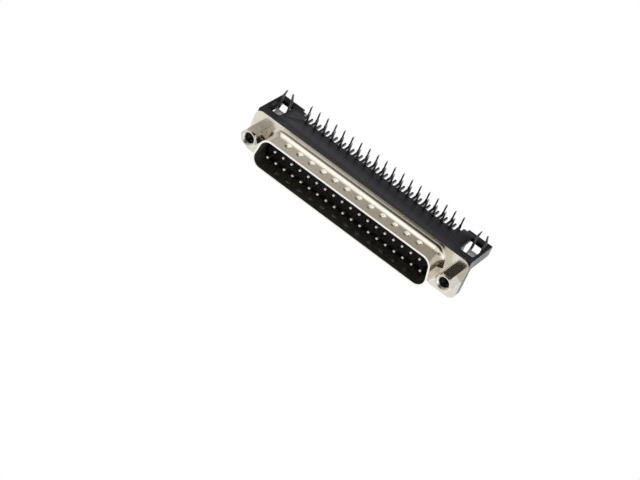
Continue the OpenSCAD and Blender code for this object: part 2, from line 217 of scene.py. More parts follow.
def cad_copy(node, name):
    """A merged copy of a CAD node's mesh, with its flat faces joined up again."""
    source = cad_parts[node]
    piece = bpy.data.objects.new(name, source.data.copy())
    bpy.context.scene.collection.objects.link(piece)
    piece.data.materials.clear()
    only(piece)
    bpy.ops.object.mode_set(mode="EDIT")
    bpy.ops.mesh.select_all(action="SELECT")
    bpy.ops.mesh.remove_doubles(threshold=MERGE_GAP)
    bpy.ops.mesh.dissolve_limited(angle_limit=math.radians(0.5))
    bpy.ops.object.mode_set(mode="OBJECT")
    return piece


def copied_to(piece, name, offset):
    """A copy with its own mesh, moved by the offset."""
    other = bpy.data.objects.new(name, piece.data.copy())
    bpy.context.scene.collection.objects.link(other)
    other.data.transform(Matrix.Translation(offset))
    return other


def dress(piece, material, slot, *nodes):
    """Gives a finished piece its material and its body, and hides the nodes that it stands for."""
    piece.data.materials.clear()
    piece.data.materials.append(material)
    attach(piece, "root")
    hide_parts(*nodes)


# ---------------------------------------------------------------- material nodes

def add(tree, kind, inputs=None, **settings):
    """Adds a node, sets it, and links or fills its inputs."""
    node = tree.nodes.new(kind)
    for key, value in settings.items():
        setattr(node, key, value)
    for key, value in (inputs or {}).items():
        if isinstance(value, bpy.types.NodeSocket):
            tree.links.new(value, node.inputs[key])
        else:
            node.inputs[key].default_value = value
    return node


def new_material(name):
    material = bpy.data.materials.new(name)
    material.use_nodes = True
    material.node_tree.nodes.clear()
    return material, material.node_tree


def show(tree, shader):
    """Makes the shader the material's surface."""
    add(tree, "ShaderNodeOutputMaterial", {"Surface": shader.outputs[0]})


def place_of(tree):
    """Object coordinates, so that a pattern stays with its piece."""
    return add(tree, "ShaderNodeTexCoord").outputs["Object"]


def noise(tree, place, scale, detail=3.0, roughness=0.5):
    return add(tree, "ShaderNodeTexNoise", {"Vector": place, "Scale": scale, "Detail": detail,
                                            "Roughness": roughness}).outputs["Fac"]


def ramp(tree, factor, low, high, low_value=0.0, high_value=1.0):
    """Goes straight from low_value at low to high_value at high, and stays level beyond them."""
    return add(tree, "ShaderNodeMapRange", {"Value": factor, "From Min": low, "From Max": high,
                                            "To Min": low_value, "To Max": high_value}).outputs["Result"]


def blend_colors(tree, factor, first, second):
    mix = add(tree, "ShaderNodeMix", data_type="RGBA")
    for key, value in (("Factor", factor), ("A", first), ("B", second)):
        socket = next(s for s in mix.inputs if s.name == key and s.enabled)
        if isinstance(value, bpy.types.NodeSocket):
            tree.links.new(value, socket)
        else:
            socket.default_value = value
    return next(s for s in mix.outputs if s.enabled)


def calculate(tree, operation, first, second=0.0):
    return add(tree, "ShaderNodeMath", {0: first, 1: second}, operation=operation).outputs[0]


def product(tree, first, second):
    return calculate(tree, "MULTIPLY", first, second)


def largest(tree, first, second):
    return calculate(tree, "MAXIMUM", first, second)


def unsigned(tree, value):
    return calculate(tree, "ABSOLUTE", value)


def stretched(tree, place, scale):
    return add(tree, "ShaderNodeVectorMath", {0: place, 1: scale}, operation="MULTIPLY").outputs[0]


def new_group(name, inputs, outputs):
    """A shader node group with its sockets; it puts out only masks and values."""
    group = bpy.data.node_groups.new(name, "ShaderNodeTree")
    for label, kind, value in inputs:
        socket = group.interface.new_socket(label, in_out="INPUT", socket_type=kind)
        if value is not None:
            socket.default_value = value
    for label, kind in outputs:
        group.interface.new_socket(label, in_out="OUTPUT", socket_type=kind)
    return group, add(group, "NodeGroupInput"), add(group, "NodeGroupOutput")


# Scales of the patterns, in cells per metre
HAIRS_ALONG = (900, 9000, 9000)
HAIRS_ACROSS = (9000, 700, 9000)
FLOW_MARKS = (90, 260, 260)
DRAW_LINES = (7000, 250, 7000)
PEEL_SCALE = 2600.0

HAIR_ROUGHNESS = 0.12   # what a scratch adds to the roughness
PEEL_SHARE = 0.35       # the orange peel's height, as a share of a scratch's depth
RUBBED_SHINE = 0.08     # what a rubbed edge takes off the roughness


def plated_sheen_group():
    """Cloudy patches, hair scratches and a faint orange peel, as on bright nickel or tin plate."""
    group, source, result = new_group(
        "plated_sheen",
        [("Cloud Scale", "NodeSocketFloat", 400.0), ("Scratch Amount", "NodeSocketFloat", 0.5),
         ("Low Roughness", "NodeSocketFloat", 0.14), ("High Roughness", "NodeSocketFloat", 0.3)],
        [("Cloud", "NodeSocketFloat"), ("Roughness", "NodeSocketFloat"), ("Height", "NodeSocketFloat")])
    place = place_of(group)
    cloud = add(group, "ShaderNodeTexNoise", {"Vector": place, "Scale": source.outputs["Cloud Scale"],
                                              "Detail": 4.0, "Roughness": 0.55}).outputs["Fac"]
    cloud = ramp(group, cloud, 0.3, 0.7)
    along = noise(group, stretched(group, place, HAIRS_ALONG), 1.0, 2.0)
    across = noise(group, stretched(group, place, HAIRS_ACROSS), 1.0, 2.0)
    hair = largest(group, ramp(group, along, 0.64, 0.78), ramp(group, across, 0.66, 0.8))
    hair = product(group, hair, source.outputs["Scratch Amount"])
    rough = add(group, "ShaderNodeMapRange", {"Value": cloud, "To Min": source.outputs["Low Roughness"],
                                              "To Max": source.outputs["High Roughness"]}).outputs["Result"]
    rough = calculate(group, "ADD", rough, product(group, hair, HAIR_ROUGHNESS))
    peel = noise(group, place, PEEL_SCALE, 2.0)
    height = calculate(group, "SUBTRACT", product(group, peel, PEEL_SHARE), hair)
    group.links.new(cloud, result.inputs["Cloud"])
    group.links.new(rough, result.inputs["Roughness"])
    group.links.new(height, result.inputs["Height"])
    return group


def moulded_grain_group():
    """The eroded grain of a glass-filled moulding, flow marks, and an edge mask for smoother edges and a
    painted highlight.
    """
    group, source, result = new_group(
        "moulded_grain",
        [("Grain Scale", "NodeSocketFloat", 5000.0), ("Low Roughness", "NodeSocketFloat", 0.34),
         ("High Roughness", "NodeSocketFloat", 0.52)],
        [("Flow", "NodeSocketFloat"), ("Edge", "NodeSocketFloat"), ("Roughness", "NodeSocketFloat"),
         ("Height", "NodeSocketFloat")])
    place = place_of(group)
    flow = ramp(group, noise(group, stretched(group, place, FLOW_MARKS), 1.0, 3.0), 0.3, 0.7)
    grain = add(group, "ShaderNodeTexNoise", {"Vector": place, "Scale": source.outputs["Grain Scale"],
                                              "Detail": 3.0, "Roughness": 0.6}).outputs["Fac"]
    edge = ramp(group, add(group, "ShaderNodeNewGeometry").outputs["Pointiness"], 0.52, 0.6)
    rough = add(group, "ShaderNodeMapRange", {"Value": flow, "To Min": source.outputs["Low Roughness"],
                                              "To Max": source.outputs["High Roughness"]}).outputs["Result"]
    rough = calculate(group, "SUBTRACT", rough, product(group, edge, RUBBED_SHINE))
    group.links.new(flow, result.inputs["Flow"])
    group.links.new(edge, result.inputs["Edge"])
    group.links.new(rough, result.inputs["Roughness"])
    group.links.new(grain, result.inputs["Height"])
    return group


PLATED_SHEEN = plated_sheen_group()
MOULDED_GRAIN = moulded_grain_group()


def plated_sheen(tree, cloud_scale, scratches, low_rough, high_rough):
    """The plated sheen with one material's own values."""
    return add(tree, "ShaderNodeGroup", {
        "Cloud Scale": cloud_scale, "Scratch Amount": scratches,
        "Low Roughness": low_rough, "High Roughness": high_rough}, node_tree=PLATED_SHEEN)


def bumped(tree, height, strength, distance):
    return add(tree, "ShaderNodeBump", {"Height": height, "Strength": strength,
                                        "Distance": distance}).outputs["Normal"]


# Colours of the finishes, and of painted shade and painted highlights; a pair is what the patches vary
# between
SHELL_NICKEL = (0.78, 0.735, 0.655, 1), (0.7, 0.655, 0.58, 1)
# Painted shade: the darker tone painted on the inward faces inside the mouth
SHELL_INSIDE_SHADE = (0.36, 0.335, 0.295, 1)
# Painted shade: near black painted on the flange's cut edge, standing in for the shadow there
SHELL_CUT_EDGE_SHADE = (0.08, 0.075, 0.07, 1)
# Painted highlight: near white painted along the rim's edge
SHELL_RIM_HIGHLIGHT = (0.93, 0.91, 0.86, 1)
SATIN_TIN = (0.97, 0.965, 0.95, 1), (0.9, 0.89, 0.875, 1)
GREY_TIN = (0.2, 0.19, 0.18, 1), (0.12, 0.115, 0.11, 1)
SCREW_NICKEL = (0.7, 0.665, 0.6, 1), (0.6, 0.565, 0.505, 1)
# Painted highlight: near white painted in the countersink
SINK_HIGHLIGHT = (0.95, 0.93, 0.89, 1)
# Painted shade: near black painted down the threaded bore
BORE_SHADE = (0.05, 0.046, 0.042, 1)
PIN_GOLD = (0.68, 0.62, 0.545, 1), (0.56, 0.5, 0.43, 1)
TAIL_TIN = (0.42, 0.41, 0.39, 1), (0.25, 0.24, 0.225, 1)
HOUSING_BLACK = (0.0036, 0.0034, 0.0064, 1), (0.0082, 0.0078, 0.0125, 1)
INSULATOR_BLACK = (0.004, 0.0036, 0.0034, 1), (0.008, 0.007, 0.0065, 1)
# Painted highlight: the lighter tone painted along the moulding's edges
EDGE_HIGHLIGHT_BLACK = (0.075, 0.077, 0.085, 1)
BLACK_TINT = (0.98, 0.94, 1.0, 1)

# Deepest relief of the plating and of the moulded grain
PLATING_DEPTH = 0.01 * MM
GRAIN_DEPTH = 0.02 * MM

# Heights between which a board lock's legs turn grey
GREY_FROM_Z = 2.8 * MM
GREY_TO_Z = 2.2 * MM


def shell_plating():
    """Bright nickel, rougher inside the mouth and on the sheet's cut edge, with painted shade there and a
    painted highlight on the rim.
    """
    material, tree = new_material("bright_nickel")
    coordinates = add(tree, "ShaderNodeTexCoord")
    place = coordinates.outputs["Object"]
    position = add(tree, "ShaderNodeSeparateXYZ", {"Vector": place})
    facing = add(tree, "ShaderNodeSeparateXYZ", {"Vector": coordinates.outputs["Normal"]})
    above = calculate(tree, "SUBTRACT", position.outputs["Z"], AXIS_Z)
    outward = calculate(tree, "ADD", product(tree, above, facing.outputs["Z"]),
                        product(tree, position.outputs["X"], facing.outputs["X"]))
    inside = ramp(tree, outward, -0.2 * MM, -1.2 * MM)
    steep = ramp(tree, unsigned(tree, facing.outputs["Y"]), 0.7, 0.4)
    cut = product(tree, steep,
                  ramp(tree, position.outputs["Y"], FLANGE_Y - 0.02 * MM, FLANGE_Y + 0.06 * MM))
    sheen = plated_sheen(tree, cloud_scale=350.0, scratches=0.5, low_rough=0.12, high_rough=0.2)
    draw_lines = product(tree, steep, noise(tree, stretched(tree, place, DRAW_LINES), 1.0, 2.0))
    color = blend_colors(tree, sheen.outputs["Cloud"], *SHELL_NICKEL)
    # Painted shade on the inward faces inside the mouth
    color = blend_colors(tree, inside, color, SHELL_INSIDE_SHADE)
    # Painted shade on the flange's cut edge
    color = blend_colors(tree, cut, color, SHELL_CUT_EDGE_SHADE)
    # Painted highlight along the rim
    rim_highlight = ramp(tree, position.outputs["Y"], RIM_Y + 0.1 * MM, RIM_Y + 0.03 * MM)
    color = blend_colors(tree, rim_highlight, color, SHELL_RIM_HIGHLIGHT)
    dull = largest(tree, product(tree, inside, 0.3), product(tree, cut, 0.32))
    height = calculate(tree, "ADD", sheen.outputs["Height"], product(tree, draw_lines, 0.8))
    shader = add(tree, "ShaderNodeBsdfPrincipled", {
        "Base Color": color, "Metallic": 1.0,
        "Roughness": calculate(tree, "ADD", sheen.outputs["Roughness"], dull),
        "Normal": bumped(tree, height, 0.2, PLATING_DEPTH)})
    show(tree, shader)
    return material


def lock_plating():
    """Satin tin on the strap, much darker grey lower down on the legs."""
    material, tree = new_material("tinned_sheet")
    height_z = add(tree, "ShaderNodeSeparateXYZ", {"Vector": place_of(tree)}).outputs["Z"]
    sheen = plated_sheen(tree, cloud_scale=700.0, scratches=0.6, low_rough=0.38, high_rough=0.5)
    satin = blend_colors(tree, sheen.outputs["Cloud"], *SATIN_TIN)
    grey = blend_colors(tree, sheen.outputs["Cloud"], *GREY_TIN)
    color = blend_colors(tree, ramp(tree, height_z, GREY_FROM_Z, GREY_TO_Z), satin, grey)
    shader = add(tree, "ShaderNodeBsdfPrincipled", {
        "Base Color": color, "Metallic": 0.3, "Roughness": sheen.outputs["Roughness"],
        "Normal": bumped(tree, sheen.outputs["Height"], 0.3, PLATING_DEPTH)})
    show(tree, shader)
    return material


def screw_plating():
    """Bright turned nickel with a painted highlight in the countersink and painted shade down the threaded
    bore.
    """
    material, tree = new_material("turned_nickel")
    position = add(tree, "ShaderNodeSeparateXYZ", {"Vector": place_of(tree)})
    across = calculate(tree, "SUBTRACT", unsigned(tree, position.outputs["X"]), SCREW_X)
    above = calculate(tree, "SUBTRACT", position.outputs["Z"], AXIS_Z)
    squares = calculate(tree, "ADD", calculate(tree, "POWER", across, 2.0),
                        calculate(tree, "POWER", above, 2.0))
    radius = calculate(tree, "SQRT", squares)
    ahead = ramp(tree, position.outputs["Y"], FLANGE_Y - 0.2 * MM, FLANGE_Y - 0.4 * MM)
    cone = product(tree, ramp(tree, radius, SINK_R, SINK_R - 0.05 * MM), ahead)
    bore = ramp(tree, radius, THREAD_MAJOR_R + 0.06 * MM, THREAD_MAJOR_R - 0.04 * MM)
    bore = product(tree, bore, ahead)
    sheen = plated_sheen(tree, cloud_scale=900.0, scratches=0.2, low_rough=0.07, high_rough=0.14)
    color = blend_colors(tree, sheen.outputs["Cloud"], *SCREW_NICKEL)
    # Painted highlight in the countersink
    color = blend_colors(tree, cone, color, SINK_HIGHLIGHT)
    # Painted shade down the threaded bore
    color = blend_colors(tree, bore, color, BORE_SHADE)
    shader = add(tree, "ShaderNodeBsdfPrincipled", {
        "Base Color": color, "Metallic": 1.0,
        "Roughness": calculate(tree, "ADD", sheen.outputs["Roughness"], product(tree, cone, 0.25)),
        "Normal": bumped(tree, sheen.outputs["Height"], 0.05, PLATING_DEPTH)})
    show(tree, shader)
    return material


def black_moulding(name, deep, raised, grain_scale, low_rough, high_rough, bump):
    """Glass-filled black plastic that is shinier over the contacts than at the end blocks."""
    material, tree = new_material(name)
    grain = add(tree, "ShaderNodeGroup", {
        "Grain Scale": grain_scale, "Low Roughness": low_rough, "High Roughness": high_rough},
        node_tree=MOULDED_GRAIN)
    color = blend_colors(tree, grain.outputs["Flow"], deep, raised)
    # Painted highlight along the edges
    color = blend_colors(tree, product(tree, grain.outputs["Edge"], 0.5), color, EDGE_HIGHLIGHT_BLACK)
    position = add(tree, "ShaderNodeSeparateXYZ", {"Vector": place_of(tree)})
    out = unsigned(tree, position.outputs["X"])
    shader = add(tree, "ShaderNodeBsdfPrincipled", {
        "Base Color": color, "Roughness": grain.outputs["Roughness"],
        "Specular IOR Level": ramp(tree, out, SCREW_X - 5 * MM, SCREW_X - 2 * MM, 0.21, 0.06),
        "Specular Tint": BLACK_TINT,
        "Normal": bumped(tree, grain.outputs["Height"], bump, GRAIN_DEPTH)})
    show(tree, shader)
    return material


def contact_plating():
    """Gold flash on the pin, which gives way to tin on the bent wire and the tail."""
    material, tree = new_material("contact_plating")
    distance_y = add(tree, "ShaderNodeSeparateXYZ", {"Vector": place_of(tree)}).outputs["Y"]
    sheen = plated_sheen(tree, cloud_scale=1500.0, scratches=0.4, low_rough=0.16, high_rough=0.3)
    gold = blend_colors(tree, sheen.outputs["Cloud"], *PIN_GOLD)
    tin = blend_colors(tree, sheen.outputs["Cloud"], *TAIL_TIN)
    behind = ramp(tree, distance_y, insulator_high.y - 0.4 * MM, insulator_high.y + 0.4 * MM)
    shader = add(tree, "ShaderNodeBsdfPrincipled", {
        "Base Color": blend_colors(tree, behind, gold, tin), "Metallic": 1.0,
        "Roughness": sheen.outputs["Roughness"],
        "Normal": bumped(tree, sheen.outputs["Height"], 0.15, PLATING_DEPTH)})
    show(tree, shader)
    return material


# ---------------------------------------------------------------- front shell

def d_corners():
    """Centres of the D's upper and lower right-hand corners, in the plane of the mouth."""
    upper = Vector((MOUTH_W / 2 - MOUTH_R, MOUTH_H / 2 - MOUTH_R))
    lower_z = MOUTH_R - MOUTH_H / 2
    return upper, Vector((upper.x - (upper.y - lower_z) * math.tan(MOUTH_SLANT), lower_z))


def stretch(start, end, step):
    """Evenly spaced values from start up to, but not at, end."""
    count = max(1, round(abs(end - start) / step))
    return [start + (end - start) * i / count for i in range(count)]


def d_outline(offset, step=0.2 * MM, turns=14):
    """Points clockwise round the D at an offset from the inside of the sheet, from the top left."""
    upper, lower = d_corners()
    radius = MOUTH_R + offset
    slant_end = upper + radius * Vector((math.cos(MOUTH_SLANT), -math.sin(MOUTH_SLANT)))
    slant_start = lower + radius * Vector((math.cos(MOUTH_SLANT), -math.sin(MOUTH_SLANT)))
    right = [Vector((x, upper.y + radius)) for x in stretch(0, upper.x, step)]
    for angle in stretch(QUARTER, -MOUTH_SLANT, (QUARTER + MOUTH_SLANT) / turns):
        right.append(upper + radius * Vector((math.cos(angle), math.sin(angle))))
    for share in stretch(0, 1, 1 / 8):
        right.append(slant_end.lerp(slant_start, share))
    for angle in stretch(-MOUTH_SLANT, -QUARTER, (QUARTER - MOUTH_SLANT) / turns):
        right.append(lower + radius * Vector((math.cos(angle), math.sin(angle))))
    right += [Vector((x, lower.y - radius)) for x in stretch(lower.x, 0, step)]
    right.append(Vector((0, lower.y - radius)))
    left = [Vector((-p.x, p.y)) for p in reversed(right[1:-1])]
    return right + left


DIMPLE_PITCH = 3.85 * MM
DIMPLE_COUNT = 12
DIMPLE_R = 0.98 * MM
DIMPLE_DEPTH = 0.28 * MM
DIMPLE_Y = FLANGE_Y - 3.4 * MM


def dimple_push(point, y):
    """How far the long walls are pressed in at a point."""
    upper = d_corners()[0]
    if abs(point.x) > upper.x or MOUTH_H / 2 > abs(point.y):
        return 0.0
    nearest = round(point.x / DIMPLE_PITCH - 0.5) + 0.5
    nearest = min(max(nearest, 0.5 - DIMPLE_COUNT / 2), DIMPLE_COUNT / 2 - 0.5)
    reach = math.hypot(point.x - nearest * DIMPLE_PITCH, y - DIMPLE_Y)
    return DIMPLE_DEPTH * smooth_step(1.1 * DIMPLE_R, 0.2 * DIMPLE_R, reach)


def shell_ring(offset, y):
    """The D's outline at one distance along the shell, with the dimples pressed in."""
    points = []
    for point in d_outline(offset):
        push = dimple_push(point, y)
        points.append(Vector((point.x, y, AXIS_Z + point.y - math.copysign(push, point.y))))
    return points


def flange_outline():
    """The flange's edge as a plane with rounded corners, of which only the edge is kept."""
    select_nothing()
    bpy.ops.mesh.primitive_plane_add(size=1, location=(0, FLANGE_Y, AXIS_Z), rotation=(QUARTER, 0, 0))
    outline = bpy.context.object
    outline.scale = (shell_high.x - shell_low.x, shell_high.z - shell_low.z, 1)
    bpy.ops.object.transform_apply(location=True, rotation=True, scale=True)
    bpy.ops.object.mode_set(mode="EDIT")
    bpy.ops.mesh.select_all(action="SELECT")
    bpy.ops.mesh.bevel(offset=FLANGE_CORNER_R, offset_type="OFFSET", segments=12, affect="VERTICES")
    bpy.ops.mesh.select_all(action="SELECT")
    bpy.ops.mesh.delete(type="ONLY_FACE")
    bpy.ops.object.mode_set(mode="OBJECT")
    return outline


def hole_edge(x):
    """The edge of a stud's hole through the flange."""
    select_nothing()
    bpy.ops.mesh.primitive_circle_add(vertices=48, radius=STUD_HOLE_R, location=(x, FLANGE_Y, AXIS_Z),
                                      rotation=(QUARTER, 0, 0))
    edge = bpy.context.object
    bpy.ops.object.transform_apply(location=True, rotation=True, scale=True)
    return edge


def model_shell():
    """Drawn sheet: the wall grows from the rim, rolls out into the flange and gets its thickness."""
    wall_ys = stretch(RIM_Y, FLANGE_Y - DRAW_L, 0.2 * MM)
    rings = [shell_ring(SHEET, y) for y in wall_ys]
    for angle in stretch(0, QUARTER, math.pi / 28) + [QUARTER]:
        offset = SHEET + DRAW_H * (1 - math.cos(angle))
        rings.append(shell_ring(offset, FLANGE_Y - DRAW_L * (1 - math.sin(angle))))
    rings.append(shell_ring(SHEET + DRAW_H + DRAW_RING, FLANGE_Y))
    shell = ring_body("drawn_shell", rings, caps=False)
    edges = flange_outline(), hole_edge(SCREW_X), hole_edge(-SCREW_X)
    only(shell)
    for edge in edges:
        edge.select_set(True)
    bpy.ops.object.join()
    bpy.ops.object.mode_set(mode="EDIT")
    bpy.ops.mesh.select_mode(type="EDGE")
    bpy.ops.mesh.select_all(action="DESELECT")
    mesh = bmesh.from_edit_mesh(shell.data)
    for edge in mesh.edges:
        flat = all(abs(v.co.y - FLANGE_Y) < MERGE_GAP for v in edge.verts)
        edge.select = flat and len(edge.link_faces) < 2
    bmesh.update_edit_mesh(shell.data)
    bpy.ops.mesh.fill()
    bpy.ops.mesh.select_mode(type="VERT")
    bpy.ops.mesh.select_all(action="SELECT")
    bpy.ops.mesh.normals_make_consistent(inside=False)
    bpy.ops.object.mode_set(mode="OBJECT")
    flange_face = next(f for f in shell.data.polygons if abs(f.center.x) > MOUTH_W / 2 + 2 * MM)
    if flange_face.normal.y > 0:
        shell.data.flip_normals()
    finish_modifier(shell, "sheet", "SOLIDIFY", thickness=SHEET, offset=-1.0, use_even_offset=True)
    soften_edges(shell, SHEET_EDGE)
    shade(shell)
    steady_flats(shell)
    return shell


# ---------------------------------------------------------------- jackscrews and lock nuts

HEX_FLATS = 4.75 * MM
HEX_LENGTH = FLANGE_Y - screw_low.y
HEX_END_R = 2.12 * MM
THREAD_MINOR_R = 1.15 * MM
THREAD_MAJOR_R = 1.42 * MM
THREAD_PITCH = 0.635 * MM
THREAD_DEPTH = 3.9 * MM
HEX_CHAMFER = math.radians(40)
SINK_R = 1.82 * MM
SINK_DEPTH = 0.95 * MM
STUD_R = 1.4 * MM
STUD_END_CHAMFER = 0.15 * MM
NUT_CHAMFER = 0.3 * MM
TURN_STEPS = 72


def round_the_screw(shape):
    """One ring about the screw's axis; shape gives radius and distance in front of the flange."""
    points = []
    for i in range(TURN_STEPS):
        angle = 2 * math.pi * i / TURN_STEPS
        radius, ahead = shape(angle)
        points.append(Vector((SCREW_X + radius * math.cos(angle), FLANGE_Y - ahead,
                              AXIS_Z + radius * math.sin(angle))))
    return points


def plain(radius, ahead):
    """A ring that is simply round."""
    return round_the_screw(lambda angle: (radius, ahead))


def hex_radius(angle):
    """How far out the hexagon's flats lie."""
    sixth = math.pi / 3
    return HEX_FLATS / 2 / math.cos((angle % sixth) - sixth / 2)


def hex_shoulder(angle):
    """Where the chamfer cone meets the flats."""
    radius = hex_radius(angle)
    return radius, HEX_LENGTH - (radius - HEX_END_R) * math.tan(HEX_CHAMFER)


def thread_rings(top, bottom, outer, inner):
    """Rings down a thread whose grooves wind round with the pitch."""
    rings = []
    for ahead in stretch(top, bottom, THREAD_PITCH / 10) + [bottom]:
        fade = min(1.0, (top - ahead) / THREAD_PITCH, (ahead - bottom) / THREAD_PITCH)

        def shape(angle, ahead=ahead, fade=max(fade, 0.0)):
            phase = (ahead / THREAD_PITCH + angle / (2 * math.pi)) % 1.0
            ridge = smooth_step(0.06, 0.44, abs(phase - 0.5))
            return inner + (outer - inner) * ridge * fade, ahead
        rings.append(round_the_screw(shape))
    return rings


def model_jackscrew():
    """Rings from the stud's end forwards over the hex, then back down the sink and the thread."""
    thread_end = HEX_LENGTH - THREAD_DEPTH
    stud_end = FLANGE_Y - screw_high.y
    rings = [plain(STUD_R - STUD_END_CHAMFER, stud_end), plain(STUD_R, stud_end + STUD_END_CHAMFER),
             plain(STUD_R, 0)]
    rings.append(round_the_screw(lambda angle: (hex_radius(angle), 0)))
    rings.append(round_the_screw(hex_shoulder))
    rings += [plain(HEX_END_R, HEX_LENGTH), plain(SINK_R, HEX_LENGTH)]
    rings += thread_rings(HEX_LENGTH - SINK_DEPTH, thread_end + 0.5 * MM, THREAD_MAJOR_R, THREAD_MINOR_R)
    rings += [plain(THREAD_MINOR_R, thread_end), plain(0.1 * MM, thread_end)]
    screw = ring_body("jackscrew_right_turned", rings)
    soften_edges(screw, METAL_EDGE)
    shade(screw)
    return screw


def model_lock_nut():
    """Rings round the nut's outside and back through its bore."""
    low, high = FLANGE_Y - nut_high.y, FLANGE_Y - nut_low.y
    outer = (nut_high.x - nut_low.x) / 2
    inner = STUD_R + 0.04 * MM
    rings = [plain(inner, high), plain(outer - 0.1 * MM, high), plain(outer, high - 0.1 * MM),
             plain(outer, low + NUT_CHAMFER), plain(outer - NUT_CHAMFER, low), plain(inner, low)]
    nut = first_ring("lock_nut_right_turned", rings[0])
    for points in rings[1:] + [rings[0]]:
        next_ring(nut, points)
    bpy.ops.mesh.select_all(action="SELECT")
    bpy.ops.mesh.remove_doubles(threshold=MERGE_GAP)
    close_up(nut, caps=False)
    soften_edges(nut, METAL_EDGE)
    shade(nut)
    return nut


# ---------------------------------------------------------------- board locks

LOCK_T = 0.45 * MM
LOCK_HALF_W = 1.7 * MM
STRAP_GAP = 0.3 * MM        # between the strap and the lock nut over it
LEG_W = 0.66 * MM
LEG_TIP_W = 0.3 * MM
FORK_KINK_Z = -1.6 * MM
FORK_INNER_TIP = 0.8 * MM
TAB_FOLD_R = 0.3 * MM + LOCK_T / 2
FORK_FOLD_R = 1.9 * MM
SLOT_TOP_Z = 2.8 * MM


def strip_path(low, high):
    """Middle line of the folded strip in y and z: down the tab, back along the strap, down the fork."""
    tab_y, fork_y = low.y + LOCK_T / 2, high.y - LOCK_T / 2
    strap_z = nut_low.z - STRAP_GAP - LOCK_T / 2
    path = [(tab_y, z) for z in stretch(high.z, strap_z + TAB_FOLD_R, 1.2 * MM)]
    for angle in stretch(0, QUARTER, math.pi / 12):
        path.append((tab_y + TAB_FOLD_R * (1 - math.cos(angle)),
                     strap_z + TAB_FOLD_R * (1 - math.sin(angle))))
    path += [(y, strap_z) for y in stretch(tab_y + TAB_FOLD_R, fork_y - FORK_FOLD_R, 1.5 * MM)]
    for angle in stretch(0, QUARTER, math.pi / 32):
        path.append((fork_y - FORK_FOLD_R * (1 - math.sin(angle)),
                     strap_z - FORK_FOLD_R * (1 - math.cos(angle))))
    path += [(fork_y, z) for z in stretch(strap_z - FORK_FOLD_R, FORK_KINK_Z, 0.8 * MM)]
    path += [(fork_y, z) for z in stretch(FORK_KINK_Z, low.z + 0.2 * MM, 0.5 * MM)]
    return path + [(fork_y, low.z + 0.2 * MM), (fork_y, low.z)]


def strip_columns(z, low_z):
    """Places of the strip's four edges across its width, from the middle of the left leg outwards."""
    close = min(max((FORK_KINK_Z - z) / (FORK_KINK_Z - low_z), 0), 1)
    inner = (LOCK_HALF_W - LEG_W) * (1 - close) + FORK_INNER_TIP * close
    outer = LOCK_HALF_W * (1 - close) + (FORK_INNER_TIP + LEG_TIP_W) * close
    if z < low_z + 0.1 * MM:
        inner, outer = inner + 0.4 * LEG_TIP_W, outer - 0.4 * LEG_TIP_W
    return -outer, -inner, inner, outer


def model_board_lock(side):
    """A strip of four rows of corners drawn out along its folded path, then slit, thickened and pierced."""
    low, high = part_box("board_lock_" + side)
    middle = (low.x + high.x) / 2
    path = strip_path(low, high)
    select_nothing()
    bpy.ops.mesh.primitive_grid_add(x_subdivisions=3, y_subdivisions=len(path) - 1, size=MM)
    lock = bpy.context.object
    lock.name = lock.data.name = "board_lock_" + side + "_folded"
    bpy.ops.object.mode_set(mode="EDIT")
    mesh = bmesh.from_edit_mesh(lock.data)
    mesh.verts.ensure_lookup_table()
    for number, vertex in enumerate(mesh.verts):
        row, column = divmod(number, 4)
        y, z = path[row]
        vertex.co = (middle + strip_columns(z, low.z)[column], y, z)
    bmesh.update_edit_mesh(lock.data)
    bpy.ops.mesh.select_all(action="DESELECT")
    mesh = bmesh.from_edit_mesh(lock.data)
    for face in mesh.faces:
        centre = face.calc_center_median()
        in_fork = centre.z < SLOT_TOP_Z and centre.y > high.y - FORK_FOLD_R
        face.select = in_fork and abs(centre.x - middle) < 0.1 * MM
    bmesh.update_edit_mesh(lock.data)
    bpy.ops.mesh.delete(type="FACE")
    bpy.ops.mesh.select_all(action="SELECT")
    bpy.ops.mesh.normals_make_consistent(inside=False)
    bpy.ops.object.mode_set(mode="OBJECT")
    finish_modifier(lock, "sheet", "SOLIDIFY", thickness=LOCK_T, offset=0.0, use_even_offset=True)
    select_nothing()
    bpy.ops.mesh.primitive_cylinder_add(
        vertices=48, radius=STUD_HOLE_R, depth=3 * MM, rotation=(QUARTER, 0, 0),
        location=(middle, low.y + LOCK_T / 2, AXIS_Z))
    punch = bpy.context.object
    finish_modifier(lock, "stud_hole", "BOOLEAN", operation="DIFFERENCE", object=punch, solver="EXACT")
    bpy.data.objects.remove(punch)
    soften_edges(lock, METAL_EDGE)
    shade(lock)
    return lock


# ---------------------------------------------------------------- contacts

WIRE_W = 0.7 * MM
WIRE_T = 0.5 * MM
TAIL_W = 0.46 * MM
PIN_R = 0.51 * MM
COLLAR_L = 1.2 * MM
NOSE_L = 0.8 * MM
NOSE_ANGLES = (0.0, 20.0, 40.0, 55.0, 68.0, 79.0, 90.0)
BEND_R = 0.95 * MM
RING_CORNERS = 16

# Height, width and thickness where the wire narrows to the tail
TAIL_STEP = ((-0.7 * MM, WIRE_W, WIRE_T), (-1.0 * MM, TAIL_W, 0.92 * WIRE_T))
# Height over the tail's end, squareness, half width and half thickness where it comes to a point
TAIL_POINT = ((0.5 * MM, 1, TAIL_W / 2, 0.46 * WIRE_T), (0.2 * MM, 0.8, 0.36 * TAIL_W, 0.34 * WIRE_T),
              (0, 0.5, 0.16 * TAIL_W, 0.15 * WIRE_T))


def section(squareness, half_w, half_t):
    """A ring's corners about its centre: round at squareness 0, nearly square at 1."""
    points = []
    for i in range(RING_CORNERS):
        angle = 2 * math.pi * (i + 0.5) / RING_CORNERS
        x, t = math.cos(angle), math.sin(angle)
        power = 1 - 0.8 * squareness
        points.append((math.copysign(abs(x) ** power, x) * half_w,
                       math.copysign(abs(t) ** power, t) * half_t))
    return points


